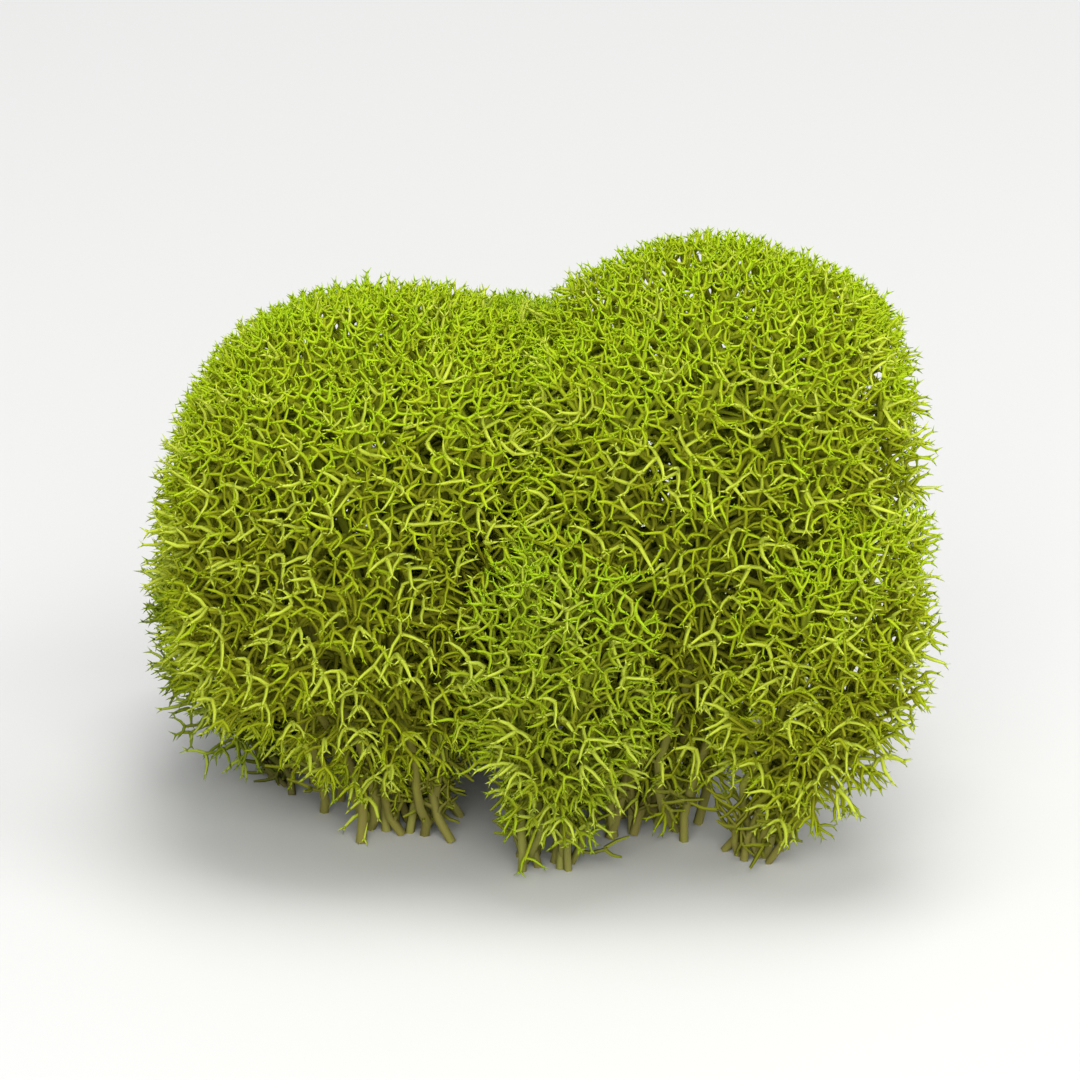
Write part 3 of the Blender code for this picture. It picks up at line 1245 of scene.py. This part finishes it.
@dataclass
class LichenDye(Wiring):
    """The colours of dyed lichen over the colour map, as a group that every finish shares.

    Up the map is age, from the stalks to the tips, which also falls with depth under the crown, so the
    darker limbs are partly painted shade. Across it is tint, from the pale stars, partly a painted
    highlight, and the dark strands, partly painted shade, to the lush ones, partly painted light on the high
    tips that face up.
    Each range runs from where a colour starts to where it is full.
    """

    limb_ages: Range = (0.03, 0.30)
    twig_ages: Range = (0.45, 0.85)
    tip_ages: Range = (0.84, 0.98)
    pale_ages: Range = (0.80, 0.95)
    pale_tints: Range = (0.20, 0.13)
    bright_tints: Range = (0.18, 0.72)
    lush_tints: Range = (0.55, 1.0)
    # Painted shade darkens the low tints, and painted light greens the high ones
    darkening: Colour = (0.74, 0.68, 0.70, 1.0)
    greening: Colour = (0.94, 1.06, 0.85, 1.0)
    speck_scale: float = 60.0
    speck_detail: float = 3.0
    speck_roughness: float = 0.6
    specks: Range = (0.35, 0.7)
    roughening: float = 0.14
    felt_scale: float = 420.0
    felt_detail: float = 2.0

    def build(self) -> bpy.types.NodeTree:
        """Builds the group.

        Returns:
            The shader node group.
        """
        for way, kind, titles in (
            ("INPUT", "Vector", ("Place",)),
            ("INPUT", "Color", ("Stalk", "Limb", "Twig", "Tip", "Pale")),
            ("INPUT", "Float", ("Mottling", "Roughness")),
            ("OUTPUT", "Color", ("Colour",)),
            ("OUTPUT", "Float", ("Roughness", "Felt")),
        ):
            for title in titles:
                self.tree.interface.new_socket(title, in_out=way, socket_type=f"NodeSocket{kind}")
        given = self.node("NodeGroupInput").outputs
        tint, age, _ = self.node("ShaderNodeSeparateXYZ", {0: given["Place"]}).outputs
        low = self.mix(self.share(age, *self.limb_ages), given["Stalk"], given["Limb"])
        middle = self.mix(self.share(age, *self.twig_ages), low, given["Twig"])
        bright = self.mix(self.share(age, *self.tip_ages), middle, given["Tip"])
        # Painted shade on the dark strands, and painted light on the lush ones below
        dark = self.mix(1.0, bright, self.darkening, "MULTIPLY")
        light = self.mix(self.share(tint, *self.bright_tints), dark, bright)
        lush = self.mix(1.0, light, self.greening, "MULTIPLY")
        deep = self.mix(self.share(tint, *self.lush_tints), light, lush)
        # Pale stars: partly paler tips, partly a painted highlight on the strands of the sides and front
        star, end = self.share(tint, *self.pale_tints), self.share(age, *self.pale_ages)
        tinted = self.mix(self.math("MULTIPLY", end, star), deep, given["Pale"])
        inputs = {
            "Vector": given["Place"],
            "Scale": self.speck_scale,
            "Detail": self.speck_detail,
            "Roughness": self.speck_roughness,
        }
        speck = self.node("ShaderNodeTexNoise", inputs).outputs["Fac"]
        shade = self.math("MULTIPLY", self.share(speck, *self.specks), given["Mottling"])
        mottled = self.mix(shade, tinted, given["Limb"])
        rough = self.math("MULTIPLY_ADD", speck, self.roughening, given["Roughness"])
        inputs = {"Vector": given["Place"], "Scale": self.felt_scale, "Detail": self.felt_detail}
        felt = self.node("ShaderNodeTexNoise", inputs).outputs["Fac"]
        self.node("NodeGroupOutput", {"Colour": mottled, "Roughness": rough, "Felt": felt})
        return self.tree


@dataclass(frozen=True)
class DyedLichen:
    """The finish of dyed lichen: straw stalks, deep green limbs, lime twigs and bright tips, where the
    darker limbs deep in the crown are partly painted shade.
    """

    dye: Dye
    stalk: Colour
    limb: Colour
    twig: Colour
    tip: Colour
    pale: Colour
    mottling: float
    roughness: float = 0.84
    gloss: float = 0.10
    felt_strength: float = 0.4
    felt_height: float = 0.08 * MM

    def material(self, group: bpy.types.NodeTree) -> bpy.types.Material:
        """Builds the material.

        Args:
            group: The dye's colours over the colour map.

        Returns:
            The material.
        """
        made = bpy.data.materials.new(self.dye.value)
        made.use_nodes = True
        wires = Wiring(made.node_tree)
        shader = made.node_tree.nodes["Principled BSDF"]
        inputs = {
            "Place": wires.node("ShaderNodeUVMap", uv_map=UV_MAP).outputs["UV"],
            "Stalk": self.stalk,
            "Limb": self.limb,
            "Twig": self.twig,
            "Tip": self.tip,
            "Pale": self.pale,
            "Mottling": self.mottling,
            "Roughness": self.roughness,
        }
        dyed = wires.node("ShaderNodeGroup", inputs, node_tree=group).outputs
        inputs = {"Height": dyed["Felt"], "Strength": self.felt_strength, "Distance": self.felt_height}
        felt = wires.node("ShaderNodeBump", inputs).outputs["Normal"]
        wires.plug(shader.inputs["Base Color"], dyed["Colour"])
        wires.plug(shader.inputs["Roughness"], dyed["Roughness"])
        wires.plug(shader.inputs["Normal"], felt)
        wires.plug(shader.inputs["Specular IOR Level"], self.gloss)
        return made


@dataclass(frozen=True)
class Lamp:
    """A soft square light: its place and width in metres, and its power in watts."""

    name: str
    place: Place
    width: float
    power: float


@dataclass(frozen=True)
class Studio:
    """A pale floor, soft lights and a camera at the photograph's height and distance."""

    elevation: float = math.radians(21.5)
    distance: float = 0.808
    aim: Place = (0.0, 0.0, 0.0225)
    filled: float = 0.76
    object_width: float = 0.067
    sensor: float = 36.0
    lamps: tuple[Lamp, ...] = (
        Lamp("key_light", (0.05, 0.05, 0.80), 0.45, 4.8),
        Lamp("fill_light", (0.0, -0.80, 0.45), 0.70, 8.6),
        Lamp("side_light", (0.65, -0.25, 0.50), 0.40, 2.2),
    )
    sky: Colour = (0.93, 0.96, 1.0, 1.0)
    sky_strength: float = 0.55
    floor_size: float = 4.0
    floor_colour: Colour = (0.56, 0.555, 0.54, 1.0)
    floor_roughness: float = 0.7

    def build(self) -> None:
        """Makes the floor, the lights, the world and the camera."""
        self._floor()
        for lamp in self.lamps:
            self._light(lamp)
        world = bpy.data.worlds.new("studio")
        world.use_nodes = True
        light = world.node_tree.nodes["Background"].inputs
        light["Color"].default_value = self.sky
        light["Strength"].default_value = self.sky_strength
        bpy.context.scene.world = world
        bpy.context.scene.view_settings.view_transform = "Standard"
        self._camera()

    def _floor(self) -> None:
        """A plain pale surface that the clump rests on."""
        shape = bmesh.new()
        bmesh.ops.create_grid(shape, x_segments=1, y_segments=1, size=self.floor_size)
        mesh = bpy.data.meshes.new("studio_floor")
        shape.to_mesh(mesh)
        shape.free()
        floor = new_object("studio_floor", mesh)
        paint = bpy.data.materials.new("studio_floor")
        paint.use_nodes = True
        shader = paint.node_tree.nodes["Principled BSDF"]
        shader.inputs["Base Color"].default_value = self.floor_colour
        shader.inputs["Roughness"].default_value = self.floor_roughness
        mesh.materials.append(paint)

    def _light(self, lamp: Lamp) -> None:
        """Hangs up a lamp that points at the clump.

        Args:
            lamp: The lamp.
        """
        light = bpy.data.lights.new(lamp.name, "AREA")
        light.size, light.energy = lamp.width, lamp.power
        made = new_object(lamp.name, light)
        made.location = lamp.place
        made.rotation_euler = (Vector(self.aim) - Vector(lamp.place)).to_track_quat("-Z", "Y").to_euler()

    def _camera(self) -> None:
        """Looks at the clump from where the photograph was taken, through a longer lens."""
        lens = bpy.data.cameras.new("camera")
        lens.sensor_width = self.sensor
        lens.lens = self.filled * self.sensor * self.distance / self.object_width
        camera = new_object("camera", lens)
        back = Vector((0.0, -math.cos(self.elevation), math.sin(self.elevation)))
        camera.location = Vector(self.aim) + back * self.distance
        camera.rotation_euler = (-back).to_track_quat("-Z", "Y").to_euler()
        bpy.context.scene.camera = camera


FINISHES = (
    DyedLichen(
        Dye.LIME,
        stalk=(0.25, 0.235, 0.060, 1.0),
        limb=(0.245, 0.280, 0.014, 1.0),
        twig=(0.38, 0.435, 0.012, 1.0),
        tip=(0.395, 0.53, 0.010, 1.0),
        pale=(0.50, 0.585, 0.052, 1.0),
        mottling=0.22,
    ),
    DyedLichen(
        Dye.LEAF,
        stalk=(0.23, 0.22, 0.060, 1.0),
        limb=(0.215, 0.255, 0.015, 1.0),
        twig=(0.34, 0.405, 0.014, 1.0),
        tip=(0.36, 0.50, 0.013, 1.0),
        pale=(0.47, 0.555, 0.056, 1.0),
        mottling=0.25,
    ),
    # Painted shade: darker copies of the dyed colours, for the low podetium on the left
    DyedLichen(
        Dye.SHADED,
        stalk=(0.17, 0.16, 0.050, 1.0),
        limb=(0.115, 0.142, 0.013, 1.0),
        twig=(0.23, 0.30, 0.016, 1.0),
        tip=(0.28, 0.40, 0.018, 1.0),
        pale=(0.40, 0.48, 0.060, 1.0),
        mottling=0.30,
    ),
)

# The low podetia are thin, so their inner twigs start nearer to the outside
THIN = Habit(infill_depth=(1.1 * MM, 5.0 * MM))

PLANTS = (
    Podetium("front_left", Dye.LIME, stalks=28, spacing=0.84 * MM, seed=11, infill_apart=1.95 * MM),
    Podetium("front_right", Dye.LIME, stalks=28, spacing=0.85 * MM, seed=12, infill_apart=1.95 * MM),
    Podetium("back_middle", Dye.LEAF, stalks=16, spacing=0.78 * MM, seed=13),
    Podetium("back_left", Dye.LEAF, stalks=13, spacing=0.80 * MM, seed=14),
    Podetium("back_right", Dye.LEAF, stalks=13, spacing=0.80 * MM, seed=15),
    # front_low, and right_low below, get painted light added to their tints
    Podetium("front_low", Dye.LEAF, stalks=12, spacing=0.78 * MM, seed=16, painted_light=0.16, habit=THIN),
    Podetium(
        "right_low",
        Dye.LIME,
        stalks=12,
        spacing=0.78 * MM,
        seed=17,
        painted_light=0.04,
        infill_apart=1.4 * MM,
        habit=THIN,
    ),
    # left_low wears the darker copy of the dye, which is painted shade
    Podetium("left_low", Dye.SHADED, stalks=10, spacing=0.80 * MM, seed=18, habit=THIN),
)


def main() -> None:
    """Builds every podetium around its solid, then the studio."""
    logging.basicConfig(level=logging.INFO, format="%(name)s: %(message)s")
    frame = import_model()
    group = LichenDye(bpy.data.node_groups.new("lichen_dye", "ShaderNodeTree")).build()
    finishes = {finish.dye: finish.material(group) for finish in FINISHES}
    tree = StrandTree(bpy.data.node_groups.new("lichen_strands", "GeometryNodeTree")).build()
    clump = Clump.of(frame["nodes"])
    total = 0
    for plant in PLANTS:
        piece = plant.build(clump, tree, finishes[plant.dye])
        total += len(piece.data.loop_triangles)
    log.info("all podetia: %d triangles", total)
    Studio().build()


if __name__ == "__main__":
    main()
